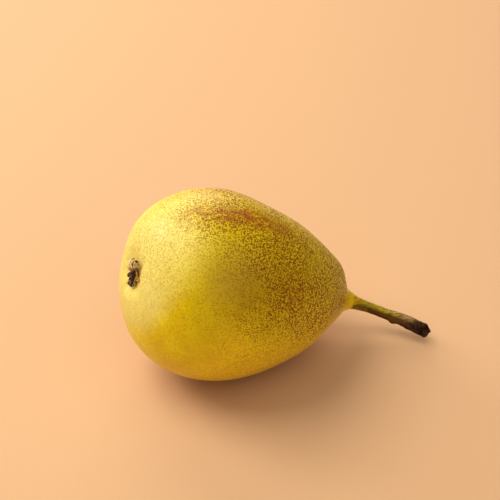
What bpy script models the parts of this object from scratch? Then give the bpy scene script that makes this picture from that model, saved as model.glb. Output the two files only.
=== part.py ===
"""A short, full-bellied pear that lies on its side: the fruit, its stem and its dried calyx.

Units are metres and +Z is up. The origin is the centre of the small flat spot that the fruit rests
on. The fruit's long axis lies in the XZ plane: the blossom end points to -X and up, the stem to +X.

Each piece is shaped in the fruit's own frame and then laid down by LAID_DOWN. In that frame the
blossom end is at the top, at z = 0, the axis is the local Z axis, and a station is a distance
below the blossom end. Local +X becomes the upper side of the lying fruit.
"""

import math

import bmesh
import bpy
from mathutils import Matrix, Vector
from mathutils.geometry import interpolate_bezier

# Fruit: a turned outline of two arcs that meet at the widest section. The reaches are how far
# each arc's handles run: along the axis on both sides of the widest section, and outwards at the
# blossom end. STEM_SHOULDER is the radius and the depth of the handle at the stem end.
BODY_LENGTH = 0.0905
BODY_RADIUS = 0.0346
WIDEST_STATION = 0.0317
BLOSSOM_REACH = 0.0275
FRONT_REACH = 0.0150
BACK_REACH = 0.0245
STEM_SHOULDER = (0.0145, 0.0058)

# The body bows towards one side of the belly, and back past its axis at the stem's shoulder.
BOW = 0.0013
BOW_TURN = math.radians(217)
BOW_HALF_WAVES = 1.17
BOW_FADE_RADIUS = 0.012

# The stem end sags below the axis. The sag grows between two stations and is full at the seat.
SAG = 0.0016
SAG_START = 0.074
SAG_END = 0.087

# Calyx basin: a shallow dip around the dried calyx.
BASIN_RADIUS = 0.0110
BASIN_DEPTH = 0.0024

# Stem seat: a shallow round recess that the stem's foot sits in.
SEAT_RADIUS = 0.0040
SEAT_LIP = 0.0006
SEAT_DEPTH = 0.0008

# How the fruit lies, and how deep the spot under it is flattened.
PITCH = math.radians(21)
REST_DEPTH = 0.00036

# Stem: how far it reaches along the axis, aside and upwards, its radii, and its bud scar. The
# foot stands straight on its seat and the bends start above it.
STEM_STRAIGHT = 0.06
STEM_REACH = 0.0345
STEM_SHORTENING = 0.0056
STEM_ASIDE = 0.0162
STEM_DROOP = 0.0026
STEM_RISE = 0.0036
STEM_FOOT_RADIUS = 0.0035
STEM_FLARE_SHARE = 0.19
STEM_WAIST_RADIUS = 0.0020
STEM_TIP_RADIUS = 0.0027
SCAR_SHARE = 0.62
SCAR_RADIUS = 0.0016
SCAR_STRETCH = (0.7, 0.9, 1.5)

# Calyx: five dried sepals around a tuft of dried stamens. Each sepal has its turn around the
# axis from the fruit's upper side, its length, the angle it rises at and how far it curls back.
SEPAL_RING = 0.0023
SEPAL_WIDTH = 0.0017
SEPAL_THICKNESS = 0.0004
SEPAL_HABITS = [
    (math.radians(42), 0.0050, math.radians(92), math.radians(145)),
    (math.radians(165), 0.0030, math.radians(74), math.radians(95)),
    (math.radians(226), 0.0042, math.radians(68), math.radians(80)),
    (math.radians(287), 0.0042, math.radians(58), math.radians(60)),
    (math.radians(346), 0.0049, math.radians(84), math.radians(140)),
]
TUFT_RADIUS = 0.0016
TUFT_HEIGHT = 0.0013

GAP = 0.0003
MERGE = 0.00001
FRUIT_STEPS = 72
TUFT_STEPS = 24
LAID_DOWN = Matrix.Rotation(PITCH - math.pi / 2, 4, "Y")

SKIN_YELLOW = (0.52, 0.40, 0.035)
STEM_BROWN = (0.16, 0.11, 0.035)
SEPAL_TAN = (0.20, 0.10, 0.035)
TUFT_BROWN = (0.035, 0.018, 0.010)


def clear_scene():
    for old in list(bpy.data.objects):
        bpy.data.objects.remove(old, do_unlink=True)


def new_collection(name):
    collection = bpy.data.collections.new(name)
    bpy.context.scene.collection.children.link(collection)
    return collection


def make_material(name, colour, roughness):
    material = bpy.data.materials.new(name)
    material.use_nodes = True
    shader = material.node_tree.nodes["Principled BSDF"]
    shader.inputs["Base Color"].default_value = (*colour, 1.0)
    shader.inputs["Roughness"].default_value = roughness
    shader.inputs["Metallic"].default_value = 0.0
    return material


def add_object(name, mesh, collection, material=None):
    thing = bpy.data.objects.new(name, mesh)
    collection.objects.link(thing)
    if material:
        mesh.materials.append(material)
    return thing


def adopt_cutter(name, cutters):
    """Name the primitive that was just added and keep it as a hidden wireframe cutter."""
    cutter = bpy.context.object
    cutter.name = name
    for owner in list(cutter.users_collection):
        owner.objects.unlink(cutter)
    cutters.objects.link(cutter)
    cutter.hide_render = True
    cutter.display_type = "WIRE"
    return cutter


def add_boolean(thing, name, operation, other):
    boolean = thing.modifiers.new(name, "BOOLEAN")
    boolean.operation = operation
    boolean.solver = "EXACT"
    boolean.object = other


def evaluated_mesh(thing, name):
    """A plain mesh of the object as its modifiers leave it; the object itself is removed."""
    bpy.context.view_layer.update()
    depsgraph = bpy.context.evaluated_depsgraph_get()
    mesh = bpy.data.meshes.new_from_object(thing.evaluated_get(depsgraph))
    mesh.name = name
    bpy.data.objects.remove(thing, do_unlink=True)
    return mesh


def turned_mesh(name, profile, steps, collection):
    """Turn a profile of (radius, z) points, top to bottom, around the Z axis."""
    line = bpy.data.meshes.new(name + "_profile")
    points = [(radius, 0.0, z) for radius, z in profile]
    edges = [(i, i + 1) for i in range(len(points) - 1)]
    line.from_pydata(points, edges, [])
    turned = add_object(name + "_turned", line, collection)
    screw = turned.modifiers.new("Screw", "SCREW")
    screw.axis = "Z"
    screw.steps = steps
    screw.render_steps = steps
    screw.use_merge_vertices = True
    screw.merge_threshold = MERGE
    return evaluated_mesh(turned, name)


# Fruit


def outline_arcs(blossom_points, stem_points):
    """The two arcs of the outline as (radius, station) points, from blossom end to stem end."""
    widest = Vector((BODY_RADIUS, WIDEST_STATION, 0.0))
    shoulder_radius, shoulder_depth = STEM_SHOULDER
    blossom_arc = interpolate_bezier(
        Vector((0.0, 0.0, 0.0)),
        Vector((BLOSSOM_REACH, 0.0, 0.0)),
        widest - Vector((0.0, FRONT_REACH, 0.0)),
        widest,
        blossom_points,
    )
    stem_arc = interpolate_bezier(
        widest,
        widest + Vector((0.0, BACK_REACH, 0.0)),
        Vector((shoulder_radius, BODY_LENGTH - shoulder_depth, 0.0)),
        Vector((0.0, BODY_LENGTH, 0.0)),
        stem_points,
    )
    return [(p.x, p.y) for p in blossom_arc + stem_arc[1:]]


def basin_dip(radius):
    """How far the calyx basin lowers the blossom end at a radius."""
    if radius >= BASIN_RADIUS:
        return 0.0
    return BASIN_DEPTH * 0.5 * (1.0 + math.cos(math.pi * radius / BASIN_RADIUS))


def smooth_share(value, start, end):
    """0 up to the start, 1 from the end on, and a smooth rise in between."""
    share = min(max((value - start) / (end - start), 0.0), 1.0)
    return share * share * (3.0 - 2.0 * share)


def sideways_shift(point):
    """How the bow and the sag move a point of the turned body; the bow fades near the axis."""
    wave = math.sin(math.pi * BOW_HALF_WAVES * max(-point.z, 0.0) / BODY_LENGTH)
    bow = BOW * wave * smooth_share(math.hypot(point.x, point.y), 0.0, BOW_FADE_RADIUS)
    sag = SAG * smooth_share(-point.z, SAG_START, SAG_END)
    return Vector((bow * math.cos(BOW_TURN) - sag, bow * math.sin(BOW_TURN), 0.0))


def fruit_profile():
    """The turned outline, from the basin's centre over the belly to the stem seat's centre."""
    lip_radius = SEAT_RADIUS + SEAT_LIP
    profile = []
    for radius, station in outline_arcs(22, 25):
        if station < WIDEST_STATION or radius > lip_radius:
            profile.append((radius, -station - basin_dip(radius)))
    lip = profile[-1][1] - SEAT_LIP
    profile.append((SEAT_RADIUS, lip))
    profile.append((SEAT_RADIUS, lip + SEAT_DEPTH))
    profile.append((0.0, lip + SEAT_DEPTH))
    return profile


def seat_floor():
    """Centre of the stem seat's floor, in the fruit's frame."""
    return Vector((-SAG, 0.0, fruit_profile()[-1][1]))


def make_fruit_mesh(collection):
    mesh = turned_mesh("fruit", fruit_profile(), FRUIT_STEPS, collection)
    for vertex in mesh.vertices:
        vertex.co += sideways_shift(vertex.co)
    return mesh


def lying_point(radius, station, turn):
    """A point of the fruit's surface once it lies down; turn is measured from its upper side."""
    point = Vector((radius * math.cos(turn), radius * math.sin(turn), -station))
    return LAID_DOWN @ (point + sideways_shift(point))


def resting_place():
    """The move that lays the fruit down with its lowest point REST_DEPTH below the origin."""
    samples = [
        lying_point(radius, station, math.pi + math.radians(half_degrees / 2))
        for radius, station in outline_arcs(200, 400)
        for half_degrees in range(-12, 13)
    ]
    lowest = min(samples, key=lambda point: point.z)
    return Matrix.Translation(-lowest - Vector((0.0, 0.0, REST_DEPTH))) @ LAID_DOWN


def cut_rest_spot(fruit, cutters):
    """Flatten the underside at z = 0."""
    side = 2 * BODY_LENGTH
    bpy.ops.mesh.primitive_cube_add(size=side, location=(0.0, 0.0, -side / 2))
    add_boolean(fruit, "RestSpot", "DIFFERENCE", adopt_cutter("rest_cutter", cutters))


# Stem


def stem_point(share):
    """A point of the stem's centre line, from its foot (0) to its tip (1), in the fruit's frame.

    The stem leaves the fruit along the axis, bends towards -Y and levels out.
    """
    bend = max(share - STEM_STRAIGHT, 0.0) / (1.0 - STEM_STRAIGHT)
    along = STEM_REACH * share - STEM_SHORTENING * bend**2.2
    aside = STEM_ASIDE * bend**1.5
    rise = STEM_RISE * bend**2 - STEM_DROOP * bend
    foot = seat_floor() - Vector((0.0, 0.0, GAP))
    return foot + Vector((rise, -aside, -along))


def stem_radius(share):
    """Flared foot, narrow waist, thicker towards the cut tip."""
    flare = (STEM_FOOT_RADIUS - STEM_WAIST_RADIUS) * math.exp(-((share / STEM_FLARE_SHARE) ** 2))
    swell = (STEM_TIP_RADIUS - STEM_WAIST_RADIUS) * max((share - 0.45) / 0.55, 0.0) ** 1.5
    return STEM_WAIST_RADIUS + flare + swell


def stem_tube(name, collection):
    """The stem's round, tapered stalk as a closed mesh."""
    rings = 26
    curve = bpy.data.curves.new(name + "_curve", "CURVE")
    curve.dimensions = "3D"
    curve.bevel_depth = 1.0
    curve.bevel_resolution = 4
    curve.use_fill_caps = True
    spline = curve.splines.new("POLY")
    spline.points.add(rings)
    for i, point in enumerate(spline.points):
        share = i / rings
        point.co = (*stem_point(share), 1.0)
        point.radius = stem_radius(share)
    stalk = bpy.data.objects.new(name + "_stalk", curve)
    collection.objects.link(stalk)
    mesh = evaluated_mesh(stalk, name)
    bpy.data.curves.remove(curve)
    welded = bmesh.new()
    welded.from_mesh(mesh)
    bmesh.ops.remove_doubles(welded, verts=welded.verts, dist=MERGE)
    bmesh.ops.recalc_face_normals(welded, faces=welded.faces)
    welded.to_mesh(mesh)
    welded.free()
    return mesh


def add_bud_scar(stem, cutters, place):
    """A small swelling on the underside of the stem, where a bud once sat."""
    centre = stem_point(SCAR_SHARE) - Vector((0.8 * stem_radius(SCAR_SHARE), 0.0, 0.0))
    bpy.ops.mesh.primitive_uv_sphere_add(segments=20, ring_count=12, radius=SCAR_RADIUS)
    scar = adopt_cutter("bud_scar_form", cutters)
    stretch = Matrix.Diagonal((*SCAR_STRETCH, 1.0))
    scar.data.transform(place @ Matrix.Translation(centre) @ stretch)
    add_boolean(stem, "BudScar", "UNION", scar)


# Calyx


def sepal_path(length, rise, curl, steps):
    """Points (outwards, upwards) along a sepal that rises steeply and curls back down."""
    outwards, upwards = SEPAL_RING, 0.0
    points = [(outwards, upwards)]
    for i in range(steps):
        angle = rise - curl * (i + 0.5) / steps
        outwards += length / steps * math.cos(angle)
        upwards += length / steps * math.sin(angle)
        points.append((outwards, upwards))
    return points


def sepal_mesh(name, length, rise, curl):
    """An open, pointed strip that follows the sepal's curled path."""
    steps, columns = 14, 4
    shape = bmesh.new()
    rows = []
    for i, (outwards, upwards) in enumerate(sepal_path(length, rise, curl, steps)):
        share = i / steps
        half = 0.5 * SEPAL_WIDTH * (1.0 - 0.72 * share**1.3)
        row = []
        for j in range(columns + 1):
            across = 2.0 * j / columns - 1.0
            trough = 0.12 * half * across * across
            row.append(shape.verts.new((outwards - trough, half * across, upwards + trough)))
        rows.append(row)
    for lower, upper in zip(rows, rows[1:]):
        for j in range(columns):
            shape.faces.new((lower[j], lower[j + 1], upper[j + 1], upper[j]))
    mesh = bpy.data.meshes.new(name)
    shape.to_mesh(mesh)
    shape.free()
    return mesh


def basin_floor():
    """Centre of the calyx basin, in the fruit's frame."""
    return Vector((0.0, 0.0, fruit_profile()[0][1]))


def make_sepals(collection, material, place):
    """The dried sepals, each curled back over the basin in its own way."""
    lift = basin_floor() + Vector((0.0, 0.0, 2 * GAP + SEPAL_THICKNESS / 2))
    for index, (turn, length, rise, curl) in enumerate(SEPAL_HABITS):
        name = f"sepal_{index + 1}"
        mesh = sepal_mesh(name, length, rise, curl)
        mesh.transform(place @ Matrix.Translation(lift) @ Matrix.Rotation(turn, 4, "Z"))
        sepal = add_object(name, mesh, collection, material)
        wall = sepal.modifiers.new("Thickness", "SOLIDIFY")
        wall.thickness = SEPAL_THICKNESS
        wall.offset = 0.0


def make_tuft(collection, material, place):
    """The tuft of dried stamens as one small closed dome."""
    rings = 8
    profile = []
    for i in range(rings + 1):
        angle = math.pi / 2 * i / rings
        profile.append((TUFT_RADIUS * math.sin(angle), TUFT_HEIGHT * math.cos(angle)))
    profile.append((0.8 * TUFT_RADIUS, -0.0001))
    profile.append((0.0, -0.0001))
    mesh = turned_mesh("stamen_tuft", profile, TUFT_STEPS, collection)
    lift = basin_floor() + Vector((0.0, 0.0, 2 * GAP))
    mesh.transform(place @ Matrix.Translation(lift))
    add_object("stamen_tuft", mesh, collection, material)


def build():
    clear_scene()
    parts = new_collection("pear")
    cutters = new_collection("cutters")
    mesh = make_fruit_mesh(parts)
    place = resting_place()
    mesh.transform(place)
    fruit = add_object("fruit", mesh, parts, make_material("skin", SKIN_YELLOW, 0.38))
    cut_rest_spot(fruit, cutters)
    mesh = stem_tube("stem", parts)
    mesh.transform(place)
    stem = add_object("stem", mesh, parts, make_material("stem_bark", STEM_BROWN, 0.7))
    add_bud_scar(stem, cutters, place)
    make_sepals(parts, make_material("dried_sepal", SEPAL_TAN, 0.75), place)
    make_tuft(parts, make_material("dried_stamen", TUFT_BROWN, 0.85), place)
    for part in parts.objects:
        part.data.shade_smooth()
        part.data.set_sharp_from_angle(angle=math.radians(40))


build()
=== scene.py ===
"""A short, full-bellied pear lying on its side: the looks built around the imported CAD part.

Units are metres and +Z is up. Every piece is shaped in the fruit's own frame and then laid down.
In that frame the blossom end is at the top, at z = 0, the axis is the local Z axis, a station is
a distance below the blossom end, and a turn is an angle about the axis from the fruit's upper
side.
"""

import math
import random

import bpy
import numpy as np
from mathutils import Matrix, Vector, noise
from mathutils.geometry import interpolate_bezier


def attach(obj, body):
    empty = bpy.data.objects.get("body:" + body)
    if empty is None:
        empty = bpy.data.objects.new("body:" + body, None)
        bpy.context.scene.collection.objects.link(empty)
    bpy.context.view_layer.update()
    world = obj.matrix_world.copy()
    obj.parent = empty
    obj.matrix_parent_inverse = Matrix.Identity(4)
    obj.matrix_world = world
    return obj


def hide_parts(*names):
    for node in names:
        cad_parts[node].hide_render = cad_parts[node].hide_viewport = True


MM = 0.001

# The fruit's outline, bow, basin, seat and lie, as the CAD part has them.
BODY_LENGTH = 90.5 * MM
BODY_RADIUS = 34.6 * MM
WIDEST_STATION = 31.7 * MM
BLOSSOM_REACH = 27.5 * MM
FRONT_REACH = 15.0 * MM
BACK_REACH = 24.5 * MM
STEM_SHOULDER = (14.5 * MM, 5.8 * MM)
BOW = 1.3 * MM
BOW_TURN = math.radians(217)
BOW_HALF_WAVES = 1.17
BOW_FADE_RADIUS = 12.0 * MM
SAG = 1.6 * MM
SAG_START = 74.0 * MM
SAG_END = 87.0 * MM
BASIN_RADIUS = 11.0 * MM
BASIN_DEPTH = 2.4 * MM
SEAT_RADIUS = 4.0 * MM
SEAT_LIP = 0.6 * MM
SEAT_DEPTH = 0.8 * MM
PITCH = math.radians(21)
REST_DEPTH = 0.36 * MM
GAP = 0.3 * MM

# The fruit's surface. The collar is the flesh that closes around the stem's foot.
FRUIT_RINGS = 320
FRUIT_SEGMENTS = 250
COLLAR_START_RADIUS = 6.2 * MM
COLLAR_RADIUS = 3.4 * MM
COLLAR_HEIGHT = 1.2 * MM
COLLAR_REACH = 1.9 * MM
COLLAR_LIP_REACH = 1.1 * MM

# Soft swellings and hollows of the body: station, turn, width and height.
SWELLINGS = [
    (3.5 * MM, math.radians(52), 9 * MM, 0.75 * MM),
    (12 * MM, math.radians(30), 7 * MM, -0.35 * MM),
    (29 * MM, math.radians(22), 12 * MM, 0.50 * MM),
    (47 * MM, math.radians(10), 10 * MM, -0.90 * MM),
    (81 * MM, math.radians(0), 6 * MM, 1.20 * MM),
    (79 * MM, math.radians(-95), 9 * MM, -1.10 * MM),
]

# Stem, as the CAD part has it.
STEM_STRAIGHT = 0.06
STEM_REACH = 34.5 * MM
STEM_SHORTENING = 5.6 * MM
STEM_ASIDE = 16.2 * MM
STEM_DROOP = 2.6 * MM
STEM_RISE = 3.6 * MM
STEM_FOOT_RADIUS = 3.5 * MM
STEM_FLARE_SHARE = 0.19
STEM_WAIST_RADIUS = 2.0 * MM
STEM_TIP_RADIUS = 2.7 * MM
STEM_RINGS = 200
STEM_SEGMENTS = 72

# The bud scar, which sits a little nearer the tip than on the CAD part.
SCAR_SHARE = 0.65
SCAR_TURN = math.radians(165)
SCAR_LENGTH_SHARE = 0.045
SCAR_WIDTH_ANGLE = 0.75
SCAR_HEIGHT = 0.9 * MM

# Shares of the stem between which it turns woody, its oblique broken end, and the turn of the lit
# side, where the bark is palest; away from it painted shade darkens the bark.
BARK_START = 0.30
BARK_END = 0.75
BREAK_START = 0.88
BREAK_SLANT = 1.7 * MM
BREAK_RISE = 0.9 * MM
LIT_TURN = math.radians(-30)

# Calyx: each dried sepal's turn in degrees, its path outwards and upwards from the basin's centre
# in millimetres, its width, and how it is rolled, bent aside, crumpled and coloured.
SEPAL_THICKNESS = 0.34 * MM
SEPALS = [
    {
        "turn": 42,
        "path": [(0.9, 0.2), (0.9, 1.3), (1.5, 2.3), (2.7, 2.7), (4.0, 2.4), (4.8, 1.7), (4.8, 0.9)],
        "width": 2.6,
        "roll": 0.25,
        "sway": 0.3,
        "crumple": 0.12,
        "darkness": -0.1,
        "amber": 0.0,
    },
    {
        "turn": 165,
        "path": [(0.9, 0.2), (1.3, 1.1), (2.1, 1.5), (3.0, 1.3), (3.4, 0.7)],
        "width": 2.8,
        "roll": 0.5,
        "sway": -0.2,
        "crumple": 0.30,
        "darkness": 0.9,
        "amber": 0.0,
    },
    {
        "turn": 232,
        "path": [(0.9, 0.2), (1.5, 0.9), (2.6, 1.3), (3.9, 1.5), (4.8, 1.4), (5.2, 1.2)],
        "width": 4.2,
        "roll": 0.55,
        "sway": 0.5,
        "crumple": 0.45,
        "darkness": 1.0,
        "amber": 0.0,
    },
    {
        "turn": 287,
        "path": [(0.9, 0.2), (1.8, 0.7), (3.2, 1.0), (4.8, 1.25), (6.4, 1.6), (7.8, 1.95)],
        "width": 3.4,
        "roll": 0.30,
        "sway": -0.6,
        "crumple": 0.25,
        "darkness": 0.15,
        "amber": 1.0,
    },
    {
        "turn": 346,
        "path": [
            (0.9, 0.2),
            (1.4, 1.2),
            (2.4, 2.0),
            (3.6, 2.5),
            (4.8, 2.4),
            (5.3, 1.6),
            (4.7, 1.0),
            (4.1, 1.5),
        ],
        "width": 2.4,
        "roll": 0.25,
        "sway": 0.1,
        "crumple": 0.12,
        "darkness": 0.40,
        "amber": 0.3,
    },
]

SEPAL_ROWS = 48
SEPAL_COLUMNS = 16
STAMEN_COUNT = 26
CUSHION_RADIUS = 2.0 * MM
CUSHION_HEIGHT = 0.75 * MM

# Patches of colour on the skin: strength, station and turn of the centre, half length along the
# fruit and half width around it. Stations and sizes are in millimetres and turns in degrees.
OLIVE_PATCHES = [(1.0, 27, -55, 15, 15.0), (0.2, 50, -40, 16, 14.0)]
RUSSET_PATCHES = [
    (1.2, 28, -12, 11, 4.0),
    (0.75, 43, -14, 12, 5.0),
    (0.45, 15, -6, 8, 5.0),
    (0.4, 50, -62, 9, 7.0),
    (0.15, 44, -40, 14, 9.0),
    (0.35, 40, 130, 16, 12.0),
]
DENSE_FRECKLES = [(0.12, 48, -60, 8, 6.0)]

# The stain beside the calyx, and how far the brown of the calyx's middle reaches.
STAIN_PLACE = (4.3 * MM, -4.0 * MM)
STAIN_RADIUS = 1.5 * MM
STAIN_CENTRE_RADIUS = 3.4 * MM

# Colours of the skin and of the light painted on it, as a dark and a light shade or as one colour.
SKIN_YELLOW = ((0.78, 0.57, 0.003), (0.87, 0.71, 0.006))
SKIN_GREEN = ((0.62, 0.47, 0.001), (0.76, 0.60, 0.003))
SKIN_OLIVE = ((0.38, 0.24, 0.001), (0.49, 0.33, 0.002))
# Warm bounce light from the floor, painted on the underside.
SKIN_PAINTED_BOUNCE = ((0.83, 0.56, 0.005), (0.90, 0.69, 0.018))
# Pale lemon of the blossom end; its longer reach on the upper side is a painted highlight.
SKIN_LEMON_AND_HIGHLIGHT = ((0.76, 0.63, 0.12), (0.82, 0.71, 0.20))
# Pale sheen painted along the upper side of the skin.
SKIN_PAINTED_SHEEN = (0.89, 0.59, 0.13)
SKIN_PALE = (0.88, 0.74, 0.20)
SKIN_STAIN = (0.34, 0.13, 0.012)
SKIN_MOTTLE = (0.50, 0.28, 0.002)
SKIN_BLUSH = (0.40, 0.085, 0.004)
LENTICEL_BROWN = (0.19, 0.052, 0.001)

# Colours of the stem and the calyx; the stem's dark underside is partly painted shade.
STEM_YOUNG = ((0.21, 0.145, 0.002), (0.45, 0.34, 0.010))
STEM_ROOT = ((0.46, 0.24, 0.004), (0.68, 0.41, 0.010))
STEM_BARK = ((0.11, 0.052, 0.008), (0.43, 0.28, 0.10))
STEM_TIP = ((0.010, 0.003, 0.001), (0.080, 0.034, 0.010))
# Dark brown of the bud scar, also laid over the underside: partly its own darker bark, partly painted shade.
STEM_SCAR_AND_UNDERSIDE_SHADE = (0.085, 0.030, 0.002)
STEM_FLECK = (0.06, 0.03, 0.012)
SEPAL_TAN = ((0.40, 0.21, 0.06), (0.88, 0.68, 0.40))
SEPAL_AMBER = ((0.38, 0.13, 0.012), (0.76, 0.42, 0.06))
SEPAL_DARK = ((0.018, 0.005, 0.001), (0.30, 0.17, 0.075))
STAMEN_BROWN = ((0.018, 0.007, 0.004), (0.17, 0.085, 0.04))

# Camera, at the photograph's viewing angle.
CAMERA_AZIMUTH = math.radians(-19.2)
CAMERA_ELEVATION = math.radians(35.9)
CAMERA_DISTANCE = 0.5069
CAMERA_TARGET = Vector((0.00904, 0.00513, 0.04344))
CAMERA_LENS = 100.0

# Soft lights: name, azimuth and elevation in degrees, distance, size, power and colour.
LIGHTS = [
    ("key", -122, 57, 1.0, 0.80, 8.8, (1.0, 0.95, 0.86)),
    ("side", -140, 23, 1.0, 0.42, 3.4, (1.0, 0.97, 0.92)),
    ("back", 172, 30, 1.2, 1.0, 8.5, (1.0, 0.93, 0.84)),
    ("fill", 5, 55, 1.2, 2.2, 11.3, (1.0, 0.90, 0.76)),
]
SKY_COLOUR = (1.0, 0.86, 0.74)
SKY_STRENGTH = 0.14
FLOOR_COLOUR = (0.62, 0.38, 0.21)
FLOOR_HALF_SIDE = 3.0


# Shared helpers


def direction(azimuth, elevation):
    """Unit vector towards an azimuth and elevation; azimuth 0 is towards -Y."""
    flat = math.cos(elevation)
    return Vector((math.sin(azimuth) * flat, -math.cos(azimuth) * flat, math.sin(elevation)))


def smooth_step(low, high, values):
    share = np.clip((values - low) / (high - low), 0.0, 1.0)
    return share * share * (3.0 - 2.0 * share)


def turn_between(turn, other):
    """Signed angle from one turn to the other, within half a turn."""
    return (turn - other + math.pi) % (2.0 * math.pi) - math.pi


def noise_at(points, scale, seed, octaves=2):
    """Soft noise between about -1 and 1 at an array of points; scale is in waves per metre."""
    offset = Vector((seed * 13.7, seed * -7.3, seed * 3.1))
    flat = points.reshape(-1, 3) * scale
    values = [noise.fractal(Vector(p) + offset, 1.0, 2.0, octaves) for p in flat]
    return np.array(values).reshape(points.shape[:-1])


def grid_normals(points):
    """Unit normals of a grid of points whose second axis closes on itself."""
    along = np.gradient(points, axis=0)
    around = np.roll(points, -1, axis=1) - np.roll(points, 1, axis=1)
    normals = np.cross(around, along)
    lengths = np.linalg.norm(normals, axis=2, keepdims=True)
    return normals / np.maximum(lengths, 1e-12)


def tube_faces(rings, segments):
    """Quads of a tube of rings that close on themselves."""
    faces = []
    for i in range(rings - 1):
        for j in range(segments):
            k = (j + 1) % segments
            first, second = i * segments, (i + 1) * segments
            faces.append((first + j, first + k, second + k, second + j))
    return faces


def add_piece(name, points, faces, material, stands_for):
    mesh = bpy.data.meshes.new(name)
    mesh.from_pydata([tuple(p) for p in points], [], faces)
    mesh.materials.append(material)
    mesh.shade_smooth()
    piece = bpy.data.objects.new(name, mesh)
    bpy.context.scene.collection.objects.link(piece)
    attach(piece, "root")
    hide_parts(stands_for)
    return piece


def add_field(piece, name, values):
    """Keep one number per point of the mesh, for its material."""
    field = piece.data.attributes.new(name, "FLOAT", "POINT")
    field.data.foreach_set("value", np.ascontiguousarray(values, np.float32).ravel())


# The fruit's shape


def outline_arcs(blossom_points, stem_points):
    """The two arcs of the outline as (radius, station) rows, from blossom end to stem end."""
    widest = Vector((BODY_RADIUS, WIDEST_STATION, 0.0))
    shoulder_radius, shoulder_depth = STEM_SHOULDER
    blossom_arc = interpolate_bezier(
        Vector((0.0, 0.0, 0.0)),
        Vector((BLOSSOM_REACH, 0.0, 0.0)),
        widest - Vector((0.0, FRONT_REACH, 0.0)),
        widest,
        blossom_points,
    )
    stem_arc = interpolate_bezier(
        widest,
        widest + Vector((0.0, BACK_REACH, 0.0)),
        Vector((shoulder_radius, BODY_LENGTH - shoulder_depth, 0.0)),
        Vector((0.0, BODY_LENGTH, 0.0)),
        stem_points,
    )
    return np.array([(p.x, p.y) for p in blossom_arc + stem_arc[1:]])


def collar_arc(start, slope, steps):
    """Outline of the flesh that turns up along the stem, as (radius, station) rows."""
    end = Vector((COLLAR_RADIUS, BODY_LENGTH + COLLAR_HEIGHT, 0.0))
    lead = Vector((*slope, 0.0)).normalized() * COLLAR_REACH
    arc = interpolate_bezier(
        Vector((*start, 0.0)),
        Vector((*start, 0.0)) + lead,
        end - Vector((-0.25, 1.0, 0.0)).normalized() * COLLAR_LIP_REACH,
        end,
        steps,
    )
    return np.array([(p.x, p.y) for p in arc])


def seat_station():
    """Station of the floor that the stem's foot stands on."""
    arcs = outline_arcs(22, 25)
    kept = arcs[(arcs[:, 1] < WIDEST_STATION) | (arcs[:, 0] > SEAT_RADIUS + SEAT_LIP)]
    return kept[-1, 1] + SEAT_LIP - SEAT_DEPTH


def fruit_outline():
    """The outline with its collar, evenly spaced, as (radius, station) rows."""
    arcs = outline_arcs(200, 400)
    kept = arcs[(arcs[:, 1] < WIDEST_STATION) | (arcs[:, 0] > COLLAR_START_RADIUS)]
    collar = collar_arc(kept[-1], kept[-1] - kept[-2], 60)
    tuck = np.array([(2.9 * MM, BODY_LENGTH + 1.0 * MM), (1.5 * MM, BODY_LENGTH), (0.0, BODY_LENGTH)])
    line = np.vstack([kept, collar[1:], tuck])
    steps = np.linalg.norm(np.diff(line, axis=0), axis=1)
    lengths = np.concatenate([[0.0], np.cumsum(steps)])
    even = np.linspace(0.0, lengths[-1], FRUIT_RINGS)
    return np.stack([np.interp(even, lengths, line[:, k]) for k in (0, 1)], axis=1)


def basin_dip(radius, station):
    """How far the calyx basin lowers the blossom end."""
    dip = BASIN_DEPTH * 0.5 * (1.0 + np.cos(math.pi * np.minimum(radius / BASIN_RADIUS, 1.0)))
    return np.where(station < WIDEST_STATION, dip, 0.0)


def turned_points(radius, station, turn):
    """Points of the bowed body in the fruit's own frame."""
    wave = np.sin(math.pi * BOW_HALF_WAVES * np.maximum(station, 0.0) / BODY_LENGTH)
    bow = BOW * wave * smooth_step(0.0, BOW_FADE_RADIUS, radius)
    sag = SAG * smooth_step(SAG_START, SAG_END, station)
    x = radius * np.cos(turn) + bow * math.cos(BOW_TURN) - sag
    y = radius * np.sin(turn) + bow * math.sin(BOW_TURN)
    return np.stack([x, y, -station], axis=-1)


def tilt(points):
    """Turn points of the fruit's frame so that the fruit lies down."""
    angle = PITCH - math.pi / 2
    x, y, z = points[..., 0], points[..., 1], points[..., 2]
    lying_x = math.cos(angle) * x + math.sin(angle) * z
    lying_z = math.cos(angle) * z - math.sin(angle) * x
    return np.stack([lying_x, y, lying_z], axis=-1)


def lying_offset():
    """The move that puts the fruit's lowest point REST_DEPTH below the origin."""
    arcs = outline_arcs(200, 400)
    turns = math.pi + np.radians(np.arange(-12, 13) / 2)
    radius, turn = np.meshgrid(arcs[:, 0], turns)
    station, _ = np.meshgrid(arcs[:, 1], turns)
    points = tilt(turned_points(radius, station, turn)).reshape(-1, 3)
    lowest = points[points[:, 2].argmin()]
    return -lowest - np.array([0.0, 0.0, REST_DEPTH])


OFFSET = lying_offset()


def laid_down(points):
    """Points of the fruit's frame, moved to where they are on the lying fruit."""
    return tilt(points) + OFFSET


def puckers(radius, turn):
    """Soft folds that run out from the calyx."""
    fade = smooth_step(1.5 * MM, 4.0 * MM, radius) * (1.0 - smooth_step(6.0 * MM, 15.0 * MM, radius))
    folds = np.cos(5 * turn + 0.6) + 0.5 * np.cos(9 * turn + 2.0) + 0.35 * np.cos(14 * turn + 0.3)
    return 0.16 * MM * fade * folds


def collar_wrinkles(radius, station, turn):
    """Rings of fine folds where the flesh closes around the stem."""
    near = (station > WIDEST_STATION) * (1.0 - smooth_step(4.5 * MM, 9.0 * MM, radius))
    rings = np.sin(radius * 2.0 * math.pi / (1.3 * MM) + 0.8 * np.sin(3 * turn) + np.sin(5 * turn + 1.0))
    lobes = np.cos(3 * turn + 0.8) + 0.6 * np.cos(5 * turn + 2.2)
    return near * (0.06 * MM * rings + 0.14 * MM * lobes)


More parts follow.
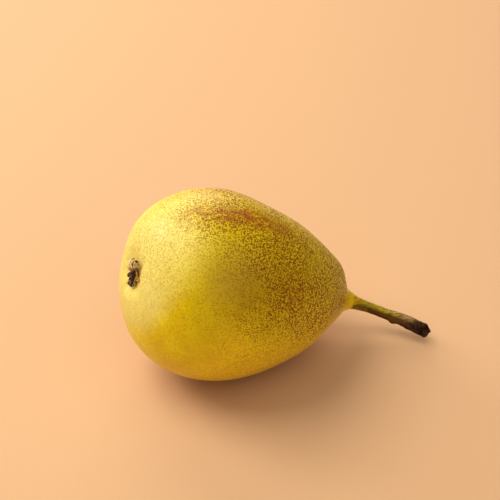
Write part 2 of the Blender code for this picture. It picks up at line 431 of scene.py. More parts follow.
def swelling(points, radius, station, turn):
    """Height that the named swellings and the body's soft waviness add at each point."""
    height = np.zeros(points.shape[:-1])
    outline = outline_arcs(200, 400)
    for place, at_turn, width, amount in SWELLINGS:
        at_radius = np.interp(place, outline[:, 1], outline[:, 0])
        centre = turned_points(np.array(at_radius), np.array(place), np.array(at_turn))
        distance = np.linalg.norm(points - centre, axis=-1)
        height += amount * np.exp(-((distance / width) ** 2))
    under = np.exp(-((turn_between(turn, math.pi) / math.radians(35)) ** 2))
    waviness = 0.22 * MM * noise_at(points, 45.0, 3) + 0.05 * MM * noise_at(points, 160.0, 5)
    return height + waviness * (1.0 - 0.9 * under)


def make_fruit(material):
    outline = fruit_outline()
    turns = np.arange(FRUIT_SEGMENTS) * 2.0 * math.pi / FRUIT_SEGMENTS
    radius = np.repeat(outline[:, :1], FRUIT_SEGMENTS, axis=1)
    station = np.repeat(outline[:, 1:], FRUIT_SEGMENTS, axis=1)
    turn = np.repeat(turns[None, :], FRUIT_RINGS, axis=0)
    points = turned_points(radius, station + basin_dip(radius, station), turn)
    normals = grid_normals(points)
    outwards = points - np.array([0.0, 0.0, -WIDEST_STATION])
    flip = np.where((normals * outwards).sum(axis=2, keepdims=True) < 0.0, -1.0, 1.0)
    fade = smooth_step(0.0, 3.0 * MM, radius)
    height = swelling(points, radius, station, turn) * fade
    height += puckers(radius, turn) * (station < WIDEST_STATION)
    height += collar_wrinkles(radius, station, turn) * smooth_step(3.0 * MM, 3.6 * MM, radius)
    lying = laid_down(points + normals * flip * height[..., None])
    lying[..., 2] = np.maximum(lying[..., 2], 0.0)
    faces = [face[::-1] for face in tube_faces(FRUIT_RINGS, FRUIT_SEGMENTS)]
    piece = add_piece("pear_skin", lying.reshape(-1, 3), faces, material, "fruit")
    add_bake_map(piece, FRUIT_RINGS, FRUIT_SEGMENTS)
    for name, values in skin_fields(points, radius, station, turn).items():
        add_field(piece, name, values)


def add_bake_map(piece, rings, segments):
    """Unwrap a tube by its rings and segments, so that its baked maps use the whole square."""
    layer = piece.data.uv_layers.new(name="OFBake")
    coordinates = []
    for polygon in piece.data.polygons:
        i, j = divmod(polygon.index, segments)
        corners = {(i, j % segments): (j, i), (i, (j + 1) % segments): (j + 1, i)}
        corners.update({(i + 1, j % segments): (j, i + 1), (i + 1, (j + 1) % segments): (j + 1, i + 1)})
        for vertex in polygon.vertices:
            across, down = corners[divmod(vertex, segments)]
            coordinates += [across / segments, 1.0 - down / (rings - 1)]
    layer.data.foreach_set("uv", coordinates)


# Where the skin's colours lie


def patch(radius, station, turn, at_station, at_turn, half_length, half_width):
    """A soft oval patch on the skin, 1 at its centre."""
    along = (station - at_station) / half_length
    across = np.maximum(radius, 6.0 * MM) * turn_between(turn, at_turn) / half_width
    return np.exp(-(along**2 + across**2))


def patches(radius, station, turn, rows):
    """The sum of the patches in a list of them."""
    total = np.zeros_like(radius)
    for strength, at_station, at_turn, half_length, half_width in rows:
        place = (at_station * MM, math.radians(at_turn))
        total += strength * patch(radius, station, turn, *place, half_length * MM, half_width * MM)
    return total


def skin_fields(points, radius, station, turn):
    """Soft masks between 0 and 1 that place the skin's colours and the bounce light, highlight and sheen
    painted on it.
    """
    drift = noise_at(points, 35.0, 11)
    deg = math.radians
    # The blossom end's pale lemon reaches further on the upper side that faces the key light: a painted
    # highlight there.
    highlight_side = smooth_step(-0.6, 0.9, np.cos(turn_between(turn, deg(20))))
    lemon_and_highlight_reach = 6.0 * MM + 17.0 * MM * highlight_side
    lemon_and_highlight = 1.0 - smooth_step(0.0, 1.0, (station + 2.5 * MM * drift - 1.0 * MM) / lemon_and_highlight_reach)
    up = np.cos(turn_between(turn, deg(-30)))
    # Painted bounce light: the underside turns orange where light from the floor falls on it.
    painted_bounce = smooth_step(0.05, 0.85, -np.cos(turn_between(turn, deg(35))) + 0.35 * drift)
    painted_bounce = painted_bounce * smooth_step(12.0 * MM, 32.0 * MM, station)
    green = smooth_step(8.0 * MM, 26.0 * MM, station + 8.0 * MM * drift) * smooth_step(-0.2, 0.7, up)
    olive = patches(radius, station, turn, OLIVE_PATCHES)
    russet = patches(radius, station, turn, RUSSET_PATCHES)
    shaded_side = smooth_step(deg(62), deg(92), np.abs(turn_between(turn, deg(-12)) + 0.25 * drift))
    upper_side = 1.0 - smooth_step(deg(15), deg(70), np.abs(turn_between(turn, deg(5))))
    first = 13.0 * MM - 13.0 * MM * upper_side
    onset = 39.0 * MM - 3.0 * MM * upper_side
    least = 0.26 + 0.12 * upper_side
    freckles = least + (1.0 - least) * smooth_step(0.0, 1.0, (station + 4.0 * MM * drift - first) / onset)
    freckles = freckles * (1.0 - 0.60 * shaded_side)
    freckles += patches(radius, station, turn, DENSE_FRECKLES)
    collar = (station > WIDEST_STATION) * (1.0 - smooth_step(6.0 * MM, 14.0 * MM, radius))
    freckles = freckles * (1.0 - 0.6 * collar)
    # Painted sheen: a pale band along the upper side, from the top round towards the far side.
    side_turn = turn_between(turn, 0.0)
    painted_sheen = smooth_step(deg(-12), deg(16), side_turn) * smooth_step(deg(130), deg(80), side_turn)
    spot = np.hypot(points[..., 0] - STAIN_PLACE[0], points[..., 1] - STAIN_PLACE[1])
    stain = 0.8 * np.exp(-((spot / STAIN_RADIUS) ** 2))
    stain += 0.8 * np.exp(-((radius / STAIN_CENTRE_RADIUS) ** 2))
    freckles = freckles * smooth_step(4.0 * MM, 9.0 * MM, np.hypot(radius, station))
    return {
        "lemon_and_highlight": lemon_and_highlight,
        "painted_bounce": painted_bounce,
        "green": green * (1.0 - 0.8 * collar),
        "olive": np.clip(olive, 0.0, 1.0),
        "stain": stain * (station < WIDEST_STATION),
        "painted_sheen": painted_sheen * smooth_step(3.0 * MM, 25.0 * MM, station) * (1.0 - collar),
        "russet": np.clip(russet, 0.0, 1.0),
        "freckles": np.clip(freckles, 0.0, 1.0),
        "rays": puckers(radius, turn) / (0.3 * MM) * (station < WIDEST_STATION),
    }


# The stem's shape


def stem_line(share):
    """Points of the stem's centre line, from its foot (0) to its tip (1)."""
    bend = np.maximum(share - STEM_STRAIGHT, 0.0) / (1.0 - STEM_STRAIGHT)
    along = STEM_REACH * share - STEM_SHORTENING * bend**2.2
    aside = STEM_ASIDE * bend**1.5
    rise = STEM_RISE * bend**2 - STEM_DROOP * bend
    return np.stack([rise - SAG, -aside, -seat_station() - GAP - along], axis=-1)


def stem_radius(share):
    """Flared foot, narrow waist, thicker towards the broken tip."""
    flare = (STEM_FOOT_RADIUS - STEM_WAIST_RADIUS) * np.exp(-((share / STEM_FLARE_SHARE) ** 2))
    swell = (STEM_TIP_RADIUS - STEM_WAIST_RADIUS) * np.maximum((share - 0.45) / 0.55, 0.0) ** 1.5
    return STEM_WAIST_RADIUS + flare + swell


def stem_frames(line):
    """For each point of the line, two unit vectors across it; the first points upwards."""
    along = np.gradient(line, axis=0)
    along /= np.linalg.norm(along, axis=1, keepdims=True)
    upper = np.array([1.0, 0.0, 0.0]) - along * along[:, :1]
    upper /= np.linalg.norm(upper, axis=1, keepdims=True)
    return along, upper, np.cross(along, upper)


def make_stem(material):
    shares = np.linspace(0.0, 1.0, STEM_RINGS)
    line = stem_line(shares)
    along, upper, side = stem_frames(line)
    turns = np.arange(STEM_SEGMENTS) * 2.0 * math.pi / STEM_SEGMENTS
    share = np.repeat(shares[:, None], STEM_SEGMENTS, axis=1)
    turn = np.repeat(turns[None, :], STEM_RINGS, axis=0)
    spoke = np.cos(turn)[..., None] * upper[:, None] + np.sin(turn)[..., None] * side[:, None]
    woody = smooth_step(BARK_START, BARK_END, share)
    ridges = np.cos(5 * turn + 4.0 * share) + 0.7 * np.cos(8 * turn - 3.0 * share + 1.0)
    rings = np.sin(share * 190.0 + 1.5 * np.sin(2 * turn)) * np.exp(-(share / 0.12) ** 2)
    base = line[:, None] + spoke * stem_radius(share)[..., None]
    rough = noise_at(base, 500.0, 21, 3) * (0.05 + 0.22 * woody) * MM
    lumps = noise_at(base, 170.0, 25) * (0.08 + 0.22 * woody) * MM
    scar_turn = turn_between(turn, SCAR_TURN) / SCAR_WIDTH_ANGLE
    scar = np.exp(-(((share - SCAR_SHARE) / SCAR_LENGTH_SHARE) ** 2 + scar_turn**2))
    height = (0.05 + 0.07 * woody) * MM * ridges + 0.05 * MM * rings + rough + lumps
    height += SCAR_HEIGHT * scar
    points = base + spoke * height[..., None]
    points = points + along[:, None] * broken_end(share, turn)[..., None]
    cap, cap_share, cap_turn = stem_cap(points[-1], along[-1])
    lying = laid_down(np.vstack([points.reshape(-1, 3), cap.reshape(-1, 3)]))
    rings_in_all = STEM_RINGS + len(cap)
    faces = tube_faces(rings_in_all, STEM_SEGMENTS)
    piece = add_piece("stem_stalk", lying, faces, material, "stem")
    add_field(piece, "along", np.concatenate([share.ravel(), cap_share.ravel()]))
    all_turns = np.concatenate([turn.ravel(), cap_turn.ravel()])
    add_field(piece, "around", np.cos(all_turns - LIT_TURN))
    add_field(piece, "scar", np.concatenate([scar.ravel(), np.zeros(cap_share.size)]))
    add_bake_map(piece, rings_in_all, STEM_SEGMENTS)


def broken_end(share, turn):
    """How far the tip's edge is pushed along the stem: an oblique break with a ragged rim."""
    close = smooth_step(BREAK_START, 1.0, share)
    slant = -BREAK_SLANT * np.cos(turn - math.radians(50))
    ragged = 0.22 * MM * np.cos(4 * turn + 1.0) + 0.18 * MM * np.cos(7 * turn) + 0.1 * MM * np.cos(13 * turn)
    return close * (slant + ragged + BREAK_RISE)


def stem_cap(rim, along):
    """Rings of the rough broken face inside the rim."""
    centre = rim.mean(axis=0)
    turns = np.arange(STEM_SEGMENTS) * 2.0 * math.pi / STEM_SEGMENTS
    shares = np.linspace(0.96, 0.0, 14)
    rows = centre + (rim - centre)[None] * shares[:, None, None]
    rough = noise_at(rows, 900.0, 31, 3) * 0.45 * MM
    hollow = -0.5 * MM * (1.0 - shares**2)[:, None]
    nub = 1.2 * MM * np.exp(-(((shares[:, None] - 0.55) / 0.3) ** 2 + (turn_between(turns, 0.4) / 0.7) ** 2))
    height = (rough + nub) * np.minimum(1.0, 6.0 * (1.0 - shares))[:, None] + hollow
    rows = rows + along * height[..., None]
    rows[-1] = rows[-1].mean(axis=0)
    fields = np.repeat((1.0 + 0.2 * (1.0 - shares))[:, None], STEM_SEGMENTS, axis=1)
    return rows, fields, np.repeat(turns[None], len(shares), axis=0)


# The calyx


def basin_floor():
    return np.array([0.0, 0.0, -BASIN_DEPTH])


def spun(points, turn):
    """Points turned about the fruit's axis."""
    x, y, z = points[..., 0], points[..., 1], points[..., 2]
    cos, sin = math.cos(turn), math.sin(turn)
    return np.stack([x * cos - y * sin, x * sin + y * cos, z], axis=-1)


def smooth_path(corners, count):
    """A smooth line through the corners, as evenly counted rows."""
    corners = np.array(corners, float)
    ends = np.vstack([2 * corners[0] - corners[1], corners, 2 * corners[-1] - corners[-2]])
    rows = []
    for at in np.linspace(0.0, len(corners) - 1 - 1e-9, count):
        i, t = int(at), at - int(at)
        a, b, c, d = ends[i : i + 4]
        bend = 2 * a - 5 * b + 4 * c - d
        rows.append(b + 0.5 * t * (c - a + t * (bend + t * (3 * b - a - 3 * c + d))))
    return np.array(rows)


def make_sepal(number, sepal, material):
    """One dried sepal: a pointed leaf that follows its path, crumpled, with rolled edges."""
    rows, columns = SEPAL_ROWS, SEPAL_COLUMNS
    path = smooth_path(sepal["path"], rows) * MM
    tangent = np.gradient(path, axis=0)
    tangent /= np.linalg.norm(tangent, axis=1, keepdims=True)
    share = np.linspace(0.0, 1.0, rows)
    lean = np.stack([-tangent[:, 1], np.zeros(rows), tangent[:, 0]], axis=1)
    half = 0.5 * sepal["width"] * MM * (1.0 - 0.72 * share**2.2) * (1.0 + 0.1 * np.sin(9.0 * share + number))
    across = np.linspace(-1.0, 1.0, columns)
    roll = sepal["roll"] * half[:, None] * across[None] ** 2
    middle = np.stack([path[:, 0], np.zeros(rows), path[:, 1]], axis=1)
    sheet = middle[:, None] + lean[:, None] * roll[..., None]
    sheet[..., 1] += half[:, None] * across[None] + sepal["sway"] * MM * share[:, None] ** 2
    grown = smooth_step(0.0, 0.25, share)[:, None] * sepal["crumple"] * MM
    sheet = sheet + lean[:, None] * (noise_at(sheet, 650.0, 40 + number, 3) * grown)[..., None]
    sheet[..., 1] += noise_at(sheet, 420.0, 60 + number) * grown
    thickness = SEPAL_THICKNESS * (0.95 - 0.45 * share[:, None]) * (1.0 - 0.65 * across[None] ** 4)
    top = sheet + lean[:, None] * (0.5 * thickness)[..., None]
    bottom = sheet - lean[:, None] * (0.5 * thickness)[..., None]
    around = np.concatenate([top, bottom[:, ::-1]], axis=1)
    lift = basin_floor() + np.array([0.0, 0.0, GAP])
    points = laid_down(spun(around, math.radians(sepal["turn"])) + lift).reshape(-1, 3)
    segments = 2 * columns
    faces = tube_faces(rows, segments)
    faces.append(tuple(range(segments - 1, -1, -1)))
    faces.append(tuple(range((rows - 1) * segments, rows * segments)))
    piece = add_piece(f"calyx_sepal_{number}", points, faces, material, f"sepal_{number}")
    inner = np.concatenate([np.ones((rows, columns)), np.zeros((rows, columns))], axis=1)
    add_field(piece, "inner", inner)
    add_field(piece, "along", np.repeat(share[:, None], segments, axis=1))
    add_field(piece, "darkness", np.full((rows, segments), sepal["darkness"]))
    add_field(piece, "amber", np.full((rows, segments), sepal["amber"]))


def hair_points(root, lean_turn, lean_angle, length, thickness, rng):
    """A thin curved thread as rings of six points, with a small knob at its end."""
    rings, sides = 12, 6
    heading = Vector(
        (
            math.sin(lean_angle) * math.cos(lean_turn),
            math.sin(lean_angle) * math.sin(lean_turn),
            math.cos(lean_angle),
        )
    )
    bend = Vector((rng.uniform(-1, 1), rng.uniform(-1, 1), rng.uniform(-0.8, 0.2))) * 0.16
    position = Vector(root)
    rows = []
    for i in range(rings):
        share = i / (rings - 1)
        across = heading.orthogonal().normalized()
        other = heading.cross(across)
        knob = 1.7 * math.exp(-(((share - 0.9) / 0.09) ** 2))
        radius = thickness * (1.0 - 0.35 * share + knob) * (0.25 if i == rings - 1 else 1.0)
        for k in range(sides):
            angle = 2.0 * math.pi * k / sides
            rows.append(position + (across * math.cos(angle) + other * math.sin(angle)) * radius)
        heading = (heading + bend).normalized()
        position = position + heading * (length / (rings - 1))
    faces = tube_faces(rings, sides)
    faces.append(tuple(range(sides - 1, -1, -1)))
    faces.append(tuple(range((rings - 1) * sides, rings * sides)))
    return rows, faces


def make_stamens(material):
    """The dried stamens and styles, on the dark cushion they grew from."""
    rng = random.Random(7)
    points, faces = cushion_points()
    for i in range(STAMEN_COUNT):
        turn = 2.0 * math.pi * i / STAMEN_COUNT + rng.uniform(-0.2, 0.2)
        ring = rng.uniform(0.5, 1.45) * MM
        root = (ring * math.cos(turn), ring * math.sin(turn), 0.15 * MM)
        lean = rng.uniform(0.05, 0.75)
        length = rng.uniform(1.1, 2.0) * MM
        rows, quads = hair_points(root, turn, lean, length, rng.uniform(0.055, 0.085) * MM, rng)
        first = len(points)
        points += [tuple(p) for p in rows]
        faces += [tuple(first + k for k in face) for face in quads]
    lift = basin_floor() + np.array([0.0, 0.0, GAP])
    lying = laid_down(np.array(points) + lift)
    add_piece("dried_stamens", lying, faces, material, "stamen_tuft")


def cushion_points():
    """A low, pitted mound as (points, faces)."""
    rings, sides = 14, 40
    points = []
    for i in range(rings):
        share = 1.0 - i / (rings - 1)
        for k in range(sides):
            turn = 2.0 * math.pi * k / sides
            radius = CUSHION_RADIUS * share
            p = Vector((radius * math.cos(turn), radius * math.sin(turn), 0.0))
            pits = 0.30 * MM * noise.noise(p * 1600.0) * (1.0 - share)
            height = CUSHION_HEIGHT * (1.0 - share**2) + pits
            points.append((p.x, p.y, height))
    return points, tube_faces(rings, sides)


# Materials


class Nodes:
    """Short hands for building one material's nodes."""

    def __init__(self, name, roughness):
        self.material = bpy.data.materials.new(name)
        self.material.use_nodes = True
        self.tree = self.material.node_tree
        self.shader = self.tree.nodes["Principled BSDF"]
        self.shader.inputs["Metallic"].default_value = 0.0
        self.shader.inputs["Roughness"].default_value = roughness
        self.place = self.tree.nodes.new("ShaderNodeTexCoord").outputs["Object"]

    def new(self, kind, **settings):
        node = self.tree.nodes.new(kind)
        for key, value in settings.items():
            setattr(node, key, value)
        return node

    def plug(self, socket, value):
        if isinstance(value, bpy.types.NodeSocket):
            self.tree.links.new(value, socket)
        else:
            socket.default_value = value

    def field(self, name):
        return self.new("ShaderNodeAttribute", attribute_name=name).outputs["Fac"]

    def maths(self, operation, a, b=0.0, clamp=False):
        node = self.new("ShaderNodeMath", operation=operation, use_clamp=clamp)
        self.plug(node.inputs[0], a)
        self.plug(node.inputs[1], b)
        return node.outputs[0]

    def ramp(self, value, low, high, to_low=0.0, to_high=1.0):
        """Smooth change from to_low to to_high as the value goes from low to high."""
        node = self.new("ShaderNodeMapRange", interpolation_type="SMOOTHSTEP")
        self.plug(node.inputs["Value"], value)
        self.plug(node.inputs["From Min"], low)
        self.plug(node.inputs["From Max"], high)
        self.plug(node.inputs["To Min"], to_low)
        self.plug(node.inputs["To Max"], to_high)
        return node.outputs["Result"]

    def mix(self, share, a, b):
        node = self.new("ShaderNodeMix", data_type="RGBA")
        self.plug(node.inputs["Factor"], share)
        self.plug(node.inputs["A"], (*a, 1.0) if isinstance(a, tuple) else a)
        self.plug(node.inputs["B"], (*b, 1.0) if isinstance(b, tuple) else b)
        return node.outputs["Result"]

    def stretched(self, scale):
        """Object coordinates, turned to the fruit's axis and scaled."""
        node = self.new("ShaderNodeMapping", vector_type="POINT")
        self.plug(node.inputs["Vector"], self.place)
        node.inputs["Rotation"].default_value = (0.0, PITCH, 0.0)
        node.inputs["Scale"].default_value = scale
        return node.outputs["Vector"]

    def noise(self, scale, detail=2.0, roughness=0.5, vector=None, distortion=0.0):
        node = self.new("ShaderNodeTexNoise")
        self.plug(node.inputs["Vector"], vector or self.place)
        node.inputs["Scale"].default_value = scale
        node.inputs["Detail"].default_value = detail
        node.inputs["Roughness"].default_value = roughness
        node.inputs["Distortion"].default_value = distortion
        return node

    def cells(self, scale, vector=None, randomness=1.0):
        node = self.new("ShaderNodeTexVoronoi")
        self.plug(node.inputs["Vector"], vector or self.place)
        node.inputs["Scale"].default_value = scale
        node.inputs["Randomness"].default_value = randomness
        return node

    def bumps(self, *layers):
        """Layers of (height, strength, distance), one on the other."""
        normal = None
        for height, strength, distance in layers:
            node = self.new("ShaderNodeBump")
            node.inputs["Strength"].default_value = strength
            node.inputs["Distance"].default_value = distance
            self.plug(node.inputs["Height"], height)
            if normal:
                self.plug(node.inputs["Normal"], normal)
            normal = node.outputs["Normal"]
        self.plug(self.shader.inputs["Normal"], normal)


def jittered(nodes, amount, scale):
    """Object coordinates pushed about by fine noise, so that cells get ragged edges."""
    push = nodes.noise(scale, detail=2.0).outputs["Color"]
    centred = nodes.new("ShaderNodeVectorMath", operation="SUBTRACT")
    nodes.plug(centred.inputs[0], push)
    centred.inputs[1].default_value = (0.5, 0.5, 0.5)
    scaled = nodes.new("ShaderNodeVectorMath", operation="SCALE")
    nodes.plug(scaled.inputs[0], centred.outputs[0])
    scaled.inputs["Scale"].default_value = amount
    moved = nodes.new("ShaderNodeVectorMath", operation="ADD")
    nodes.plug(moved.inputs[0], nodes.place)
    nodes.plug(moved.inputs[1], scaled.outputs[0])
    return moved.outputs[0]


def skin_material():
    nodes = Nodes("pear_skin", 0.45)
    lemon_and_highlight, painted_bounce, green = nodes.field("lemon_and_highlight"), nodes.field("painted_bounce"), nodes.field("green")
    olive, painted_sheen, stain = nodes.field("olive"), nodes.field("painted_sheen"), nodes.field("stain")
    russet, freckles, rays = nodes.field("russet"), nodes.field("freckles"), nodes.field("rays")
    cloud = nodes.noise(120.0, detail=3.0).outputs["Fac"]
    mottle = nodes.noise(600.0, detail=3.0).outputs["Fac"]

    colour = nodes.mix(nodes.ramp(cloud, 0.3, 0.7), *SKIN_YELLOW)
    colour = nodes.mix(green, colour, nodes.mix(cloud, *SKIN_GREEN))
    colour = nodes.mix(olive, colour, nodes.mix(cloud, *SKIN_OLIVE))
    # Painted light: sheen along the upper side, warm floor bounce on the underside, highlight on the upper
    # blossom end.
    colour = nodes.mix(nodes.maths("MULTIPLY", painted_sheen, 0.62), colour, SKIN_PAINTED_SHEEN)
    colour = nodes.mix(painted_bounce, colour, nodes.mix(cloud, *SKIN_PAINTED_BOUNCE))
    colour = nodes.mix(lemon_and_highlight, colour, nodes.mix(cloud, *SKIN_LEMON_AND_HIGHLIGHT))
    uneven_rays = nodes.maths("ADD", rays, nodes.ramp(mottle, 0.3, 0.7, -0.2, 0.2))
    pale = nodes.ramp(uneven_rays, 0.1, 0.9, 0.0, 0.35)
    colour = nodes.mix(pale, colour, SKIN_PALE)
    colour = nodes.mix(nodes.maths("MULTIPLY", stain, 0.85), colour, SKIN_STAIN)
    soft_mottle = nodes.ramp(mottle, 0.35, 0.65, 0.0, 0.16)
    colour = nodes.mix(soft_mottle, colour, SKIN_MOTTLE)

    streaks = nodes.noise(1.0, detail=4.0, roughness=0.6, vector=nodes.stretched((190.0, 520.0, 520.0)))
    blush = nodes.maths("MULTIPLY", russet, nodes.ramp(streaks.outputs["Fac"], 0.32, 0.62))
    colour = nodes.mix(nodes.maths("MULTIPLY", blush, 0.92), colour, SKIN_BLUSH)

    spots = freckle_mask(nodes, freckles, russet)
    colour = nodes.mix(nodes.maths("MULTIPLY", spots, 0.95), colour, LENTICEL_BROWN)
    nodes.plug(nodes.shader.inputs["Base Color"], colour)

    gloss = nodes.ramp(cloud, 0.3, 0.7, 0.29, 0.37)
    roughness = nodes.maths("ADD", gloss, nodes.maths("MULTIPLY", spots, 0.2))
    nodes.plug(nodes.shader.inputs["Roughness"], roughness)
    nodes.shader.inputs["Specular IOR Level"].default_value = 0.17
    nodes.shader.inputs["Sheen Weight"].default_value = 0.04
    nodes.shader.inputs["Sheen Roughness"].default_value = 0.25
    nodes.shader.inputs["Sheen Tint"].default_value = (1.0, 0.80, 0.48, 1.0)
    pores = nodes.noise(1500.0, detail=2.0).outputs["Fac"]
    dimples = nodes.noise(330.0, detail=2.0).outputs["Fac"]
    nodes.bumps((dimples, 0.5, 0.15 * MM), (pores, 0.4, 0.06 * MM), (spots, 0.5, 0.05 * MM))
    return nodes.material


def freckle_mask(nodes, freckles, russet):
    """Small dark lenticels: dots and short worms, dense where the freckles field is high."""
    ragged = jittered(nodes, 0.30 * MM, 1800.0)
    cells = nodes.cells(1300.0, vector=ragged)
    size = nodes.ramp(freckles, 0.0, 1.0, 0.26, 0.38)
    dots = nodes.maths("SUBTRACT", size, cells.outputs["Distance"])
    dots = nodes.ramp(dots, -0.10, 0.08)
    worms = nodes.noise(1750.0, detail=0.0, vector=ragged).outputs["Fac"]
    density = nodes.maths("ADD", freckles, nodes.maths("MULTIPLY", russet, 0.5))
    limit = nodes.ramp(density, 0.0, 1.4, 0.64, 0.51)
    worm_mask = nodes.maths("SUBTRACT", worms, limit)
    worm_mask = nodes.ramp(worm_mask, -0.05, 0.07)
    patchy = nodes.noise(140.0, detail=2.0).outputs["Fac"]
    patchiness = nodes.ramp(patchy, 0.3, 0.6, 0.75, 1.0)
    strength = nodes.maths("MULTIPLY", nodes.ramp(freckles, 0.0, 0.9, 0.18, 1.0), patchiness)
    both = nodes.maths("MAXIMUM", dots, worm_mask)
    return nodes.maths("MULTIPLY", both, strength, clamp=True)


def stem_material():
    nodes = Nodes("stem_bark", 0.7)
    along, around = nodes.field("along"), nodes.field("around")
    drawn_out = nodes.stretched((160.0, 1100.0, 1100.0))
    fibres = nodes.noise(1.0, detail=5.0, roughness=0.65, vector=drawn_out).outputs["Fac"]
    blotch = nodes.noise(420.0, detail=4.0, roughness=0.6).outputs["Fac"]
    edge = nodes.maths("ADD", along, nodes.ramp(blotch, 0.3, 0.7, -0.08, 0.08))

    young = nodes.mix(nodes.ramp(fibres, 0.35, 0.65), *STEM_YOUNG)
    root = nodes.mix(nodes.ramp(fibres, 0.35, 0.65), *STEM_ROOT)
    bark = nodes.mix(nodes.ramp(fibres, 0.35, 0.65), *STEM_BARK)
    tip = nodes.mix(nodes.ramp(blotch, 0.38, 0.70), *STEM_TIP)
    colour = nodes.mix(nodes.ramp(edge, 0.12, 0.34), root, young)
    colour = nodes.mix(nodes.ramp(edge, 0.52, 0.76), colour, bark)
    # Painted shade: the bark darkens away from the lit side, over the underside's own darker bark; the bud
    # scar takes the same dark brown.
    start = nodes.ramp(edge, 0.45, 0.70, 0.55, 0.90)
    painted_underside_shade = nodes.ramp(around, start, -0.40, 0.0, 0.95)
    under = nodes.maths("MULTIPLY", painted_underside_shade, nodes.ramp(edge, 0.0, 0.40))
    under = nodes.maths("MAXIMUM", under, nodes.ramp(nodes.field("scar"), 0.15, 0.6, 0.0, 0.95))
    colour = nodes.mix(under, colour, STEM_SCAR_AND_UNDERSIDE_SHADE)
    # The dark broken end reaches further along the underside, as painted shade.
    dark_end_and_shade = nodes.maths("SUBTRACT", edge, nodes.maths("MULTIPLY", around, 0.08))
    colour = nodes.mix(nodes.ramp(dark_end_and_shade, 0.78, 0.90), colour, tip)

    specks = nodes.cells(1100.0, vector=jittered(nodes, 0.7 * MM, 900.0)).outputs["Distance"]
    flecks = nodes.maths("MULTIPLY", nodes.ramp(specks, 0.34, 0.18), nodes.ramp(blotch, 0.42, 0.58))
    colour = nodes.mix(nodes.maths("MULTIPLY", flecks, 0.8), colour, STEM_FLECK)
    nodes.plug(nodes.shader.inputs["Base Color"], colour)
    nodes.plug(nodes.shader.inputs["Roughness"], nodes.ramp(edge, 0.2, 0.7, 0.55, 0.88))
    nodes.shader.inputs["Specular IOR Level"].default_value = 0.16
    nodes.bumps((fibres, 0.7, 0.25 * MM), (blotch, 0.6, 0.2 * MM))
    return nodes.material


def sepal_material():
    nodes = Nodes("dried_sepal", 0.75)
    inner, along = nodes.field("inner"), nodes.field("along")
    darkness, amber = nodes.field("darkness"), nodes.field("amber")
    fibres = nodes.noise(1500.0, detail=4.0, roughness=0.65).outputs["Fac"]
    blotch = nodes.noise(700.0, detail=3.0).outputs["Fac"]
    streaked = nodes.ramp(fibres, 0.35, 0.65)
    tan = nodes.mix(streaked, *SEPAL_TAN)
    tan = nodes.mix(amber, tan, nodes.mix(streaked, *SEPAL_AMBER))
    dark = nodes.mix(nodes.ramp(fibres, 0.46, 0.66), *SEPAL_DARK)
    shade = nodes.maths("ADD", darkness, nodes.ramp(blotch, 0.3, 0.7, -0.3, 0.3))
    shade = nodes.maths("ADD", shade, nodes.maths("MULTIPLY", inner, 0.25))
    shade = nodes.maths("ADD", shade, nodes.ramp(along, 0.3, 0.0, 0.0, 0.4))
    colour = nodes.mix(nodes.ramp(shade, 0.25, 0.85), tan, dark)
    nodes.plug(nodes.shader.inputs["Base Color"], colour)
    nodes.plug(nodes.shader.inputs["Roughness"], nodes.ramp(blotch, 0.3, 0.7, 0.50, 0.80))
    nodes.shader.inputs["Specular IOR Level"].default_value = 0.12
    nodes.bumps((fibres, 0.7, 0.12 * MM), (blotch, 0.5, 0.15 * MM))
    return nodes.material


def stamen_material():
    nodes = Nodes("dried_stamen", 0.85)
    blotch = nodes.noise(1300.0, detail=4.0, roughness=0.6).outputs["Fac"]
    colour = nodes.mix(nodes.ramp(blotch, 0.35, 0.70), *STAMEN_BROWN)
    nodes.plug(nodes.shader.inputs["Base Color"], colour)
    nodes.plug(nodes.shader.inputs["Roughness"], nodes.ramp(blotch, 0.3, 0.7, 0.6, 0.9))
    nodes.bumps((blotch, 0.7, 0.15 * MM))
    return nodes.material


# Floor, light and camera


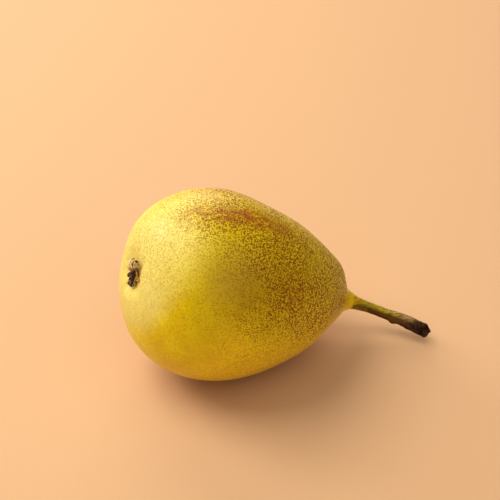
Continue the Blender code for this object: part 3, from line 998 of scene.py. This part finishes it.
def add_floor():
    side = FLOOR_HALF_SIDE
    corners = [(-side, -side, 0.0), (side, -side, 0.0), (side, side, 0.0), (-side, side, 0.0)]
    mesh = bpy.data.meshes.new("floor")
    mesh.from_pydata(corners, [], [(0, 1, 2, 3)])
    paper = bpy.data.materials.new("floor_paper")
    paper.use_nodes = True
    shader = paper.node_tree.nodes["Principled BSDF"]
    shader.inputs["Base Color"].default_value = (*FLOOR_COLOUR, 1.0)
    shader.inputs["Roughness"].default_value = 0.9
    shader.inputs["Specular IOR Level"].default_value = 0.1
    mesh.materials.append(paper)
    floor = bpy.data.objects.new("floor", mesh)
    bpy.context.scene.collection.objects.link(floor)


def add_area_light(name, towards, distance, size, power, colour):
    light = bpy.data.lights.new(name, "AREA")
    light.shape = "DISK"
    light.size = size
    light.energy = power
    light.color = colour
    lamp = bpy.data.objects.new(name, light)
    lamp.location = CAMERA_TARGET + towards * distance
    lamp.rotation_euler = towards.to_track_quat("Z", "Y").to_euler()
    bpy.context.scene.collection.objects.link(lamp)


def add_lights():
    for name, azimuth, elevation, distance, size, power, colour in LIGHTS:
        towards = direction(math.radians(azimuth), math.radians(elevation))
        add_area_light(name, towards, distance, size, power, colour)
    world = bpy.data.worlds.new("studio")
    world.use_nodes = True
    background = world.node_tree.nodes["Background"]
    background.inputs["Color"].default_value = (*SKY_COLOUR, 1.0)
    background.inputs["Strength"].default_value = SKY_STRENGTH
    bpy.context.scene.world = world


def add_camera():
    camera = bpy.data.cameras.new("camera")
    camera.lens = CAMERA_LENS
    camera.sensor_width = 36.0
    camera.clip_start = 0.01
    rig = bpy.data.objects.new("camera", camera)
    back = direction(CAMERA_AZIMUTH, CAMERA_ELEVATION)
    rig.location = CAMERA_TARGET + back * CAMERA_DISTANCE
    rig.rotation_euler = back.to_track_quat("Z", "Y").to_euler()
    bpy.context.scene.collection.objects.link(rig)
    bpy.context.scene.camera = rig
    bpy.context.scene.view_settings.view_transform = "Standard"


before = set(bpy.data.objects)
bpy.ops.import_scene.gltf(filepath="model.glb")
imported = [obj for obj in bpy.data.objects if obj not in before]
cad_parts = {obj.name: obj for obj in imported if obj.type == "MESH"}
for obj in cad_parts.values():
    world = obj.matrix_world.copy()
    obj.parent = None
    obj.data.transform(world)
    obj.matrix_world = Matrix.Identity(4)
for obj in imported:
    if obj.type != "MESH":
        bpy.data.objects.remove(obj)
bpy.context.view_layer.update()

make_fruit(skin_material())
make_stem(stem_material())
dried_sepal = sepal_material()
for sepal_number, sepal_form in enumerate(SEPALS, start=1):
    make_sepal(sepal_number, sepal_form, dried_sepal)
make_stamens(stamen_material())
add_floor()
add_lights()
add_camera()
